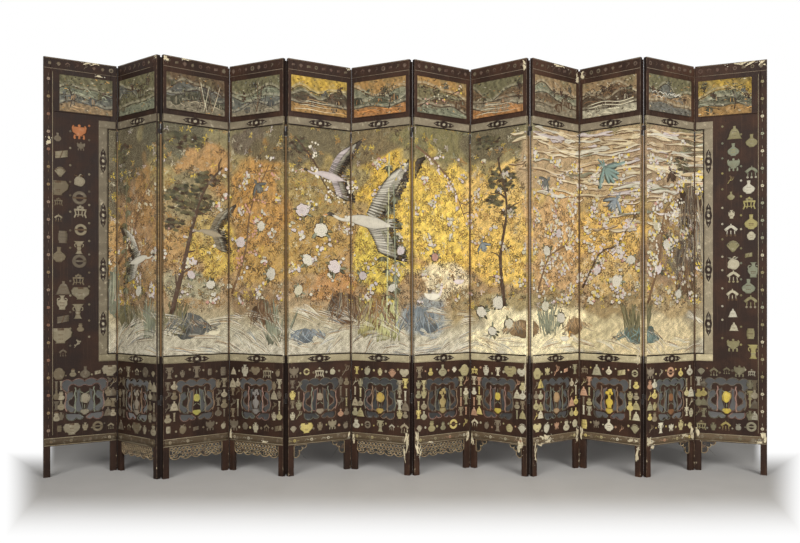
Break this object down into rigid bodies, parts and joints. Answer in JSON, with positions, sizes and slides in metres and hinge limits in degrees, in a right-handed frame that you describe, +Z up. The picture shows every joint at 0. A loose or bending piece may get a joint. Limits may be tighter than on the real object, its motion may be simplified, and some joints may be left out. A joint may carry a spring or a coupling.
{
  "type": "coromandel screen",
  "caption": "Tall folding screen of hinged lacquered leaves in an uneven zigzag, with painted birds, rocks and blossom, pierced lower boards, scrolled aprons and straight legs.",
  "frame": {"origin": "on the floor, under the middle of the whole footprint at rest", "axes": "+Z up; +X along the screen to the viewer's right; the painted fronts face -Y"},
  "size_m": [4.6806, 0.3746, 2.7],
  "materials": {
    "lacquered_frame": "dark brown-black lacquer, worn, with painted bands",
    "painted_boards": "incised lacquer filled with olive, ochre, cream and grey paint",
    "pierced_boards": "dark lacquer with small painted vessels and pierced, tinted scrollwork",
    "gilded_aprons": "worn gilding over carved wood",
    "hinge_iron": "forged iron, dull and dark"
  },
  "bodies": {
    "leaf_01": {"frame_01": "lacquered_frame", "panels_01": "painted_boards", "openwork_01": "pierced_boards", "hinges_01": "hinge_iron"},
    "leaf_02": {"frame_02": "lacquered_frame", "panels_02": "painted_boards", "openwork_02": "pierced_boards", "hinges_02": "hinge_iron", "apron_02": "gilded_aprons"},
    "leaf_03": {"frame_03": "lacquered_frame", "panels_03": "painted_boards", "openwork_03": "pierced_boards", "hinges_03": "hinge_iron", "apron_03": "gilded_aprons"},
    "leaf_04": {"frame_04": "lacquered_frame", "panels_04": "painted_boards", "openwork_04": "pierced_boards", "hinges_04": "hinge_iron", "apron_04": "gilded_aprons"},
    "leaf_05": {"frame_05": "lacquered_frame", "panels_05": "painted_boards", "openwork_05": "pierced_boards", "hinges_05": "hinge_iron", "apron_05": "gilded_aprons"},
    "leaf_06": {"frame_06": "lacquered_frame", "panels_06": "painted_boards", "openwork_06": "pierced_boards", "hinges_06": "hinge_iron", "apron_06": "gilded_aprons"},
    "leaf_07": {"frame_07": "lacquered_frame", "panels_07": "painted_boards", "openwork_07": "pierced_boards", "hinges_07": "hinge_iron", "apron_07": "gilded_aprons"},
    "leaf_08": {"frame_08": "lacquered_frame", "panels_08": "painted_boards", "openwork_08": "pierced_boards", "hinges_08": "hinge_iron", "apron_08": "gilded_aprons"},
    "leaf_09": {"frame_09": "lacquered_frame", "panels_09": "painted_boards", "openwork_09": "pierced_boards", "hinges_09": "hinge_iron"},
    "leaf_10": {"frame_10": "lacquered_frame", "panels_10": "painted_boards", "openwork_10": "pierced_boards", "hinges_10": "hinge_iron"},
    "leaf_11": {"frame_11": "lacquered_frame", "panels_11": "painted_boards", "openwork_11": "pierced_boards", "hinges_11": "hinge_iron", "apron_11": "gilded_aprons"},
    "leaf_12": {"frame_12": "lacquered_frame", "panels_12": "painted_boards", "openwork_12": "pierced_boards", "hinges_12": "hinge_iron", "apron_12": "gilded_aprons"}
  },
  "joints": [
    {"name": "fold_01_02", "type": "hinge", "parent": "leaf_02", "child": "leaf_01", "pos_m": [-1.94647, 0.08296, 0.5], "axis": [0, 0, 1], "range_deg": [-69.7, 110.3]},
    {"name": "fold_02_03", "type": "hinge", "parent": "leaf_03", "child": "leaf_02", "pos_m": [-1.57085, -0.16691, 0.5], "axis": [0, 0, -1], "range_deg": [-76.8, 103.2]},
    {"name": "fold_03_04", "type": "hinge", "parent": "leaf_04", "child": "leaf_03", "pos_m": [-1.20144, 0.09206, 0.5], "axis": [0, 0, 1], "range_deg": [-66.5, 113.5]},
    {"name": "fold_04_05", "type": "hinge", "parent": "leaf_05", "child": "leaf_04", "pos_m": [-0.7872, -0.08662, 0.5], "axis": [0, 0, -1], "range_deg": [-58.9, 121.1]},
    {"name": "fold_05_06", "type": "hinge", "parent": "leaf_06", "child": "leaf_05", "pos_m": [-0.38679, 0.12122, 0.5], "axis": [0, 0, 1], "range_deg": [-59.2, 120.8]},
    {"name": "fold_06_07", "type": "hinge", "parent": "leaf_06", "child": "leaf_07", "pos_m": [0.02651, -0.05962, 0.5], "axis": [0, 0, 1], "range_deg": [-61.7, 118.3]},
    {"name": "fold_07_08", "type": "hinge", "parent": "leaf_07", "child": "leaf_08", "pos_m": [0.41747, 0.16548, 0.5], "axis": [0, 0, -1], "range_deg": [-73.2, 106.8]},
    {"name": "fold_08_09", "type": "hinge", "parent": "leaf_08", "child": "leaf_09", "pos_m": [0.78642, -0.09413, 0.5], "axis": [0, 0, 1], "range_deg": [-77.7, 102.3]},
    {"name": "fold_09_10", "type": "hinge", "parent": "leaf_09", "child": "leaf_10", "pos_m": [1.15851, 0.16096, 0.5], "axis": [0, 0, -1], "range_deg": [-80.2, 99.8]},
    {"name": "fold_10_11", "type": "hinge", "parent": "leaf_10", "child": "leaf_11", "pos_m": [1.51579, -0.1145, 0.5], "axis": [0, 0, 1], "range_deg": [-72.9, 107.1]},
    {"name": "fold_11_12", "type": "hinge", "parent": "leaf_11", "child": "leaf_12", "pos_m": [1.91728, 0.09124, 0.5], "axis": [0, 0, -1], "range_deg": [-54, 126]}
  ]
}
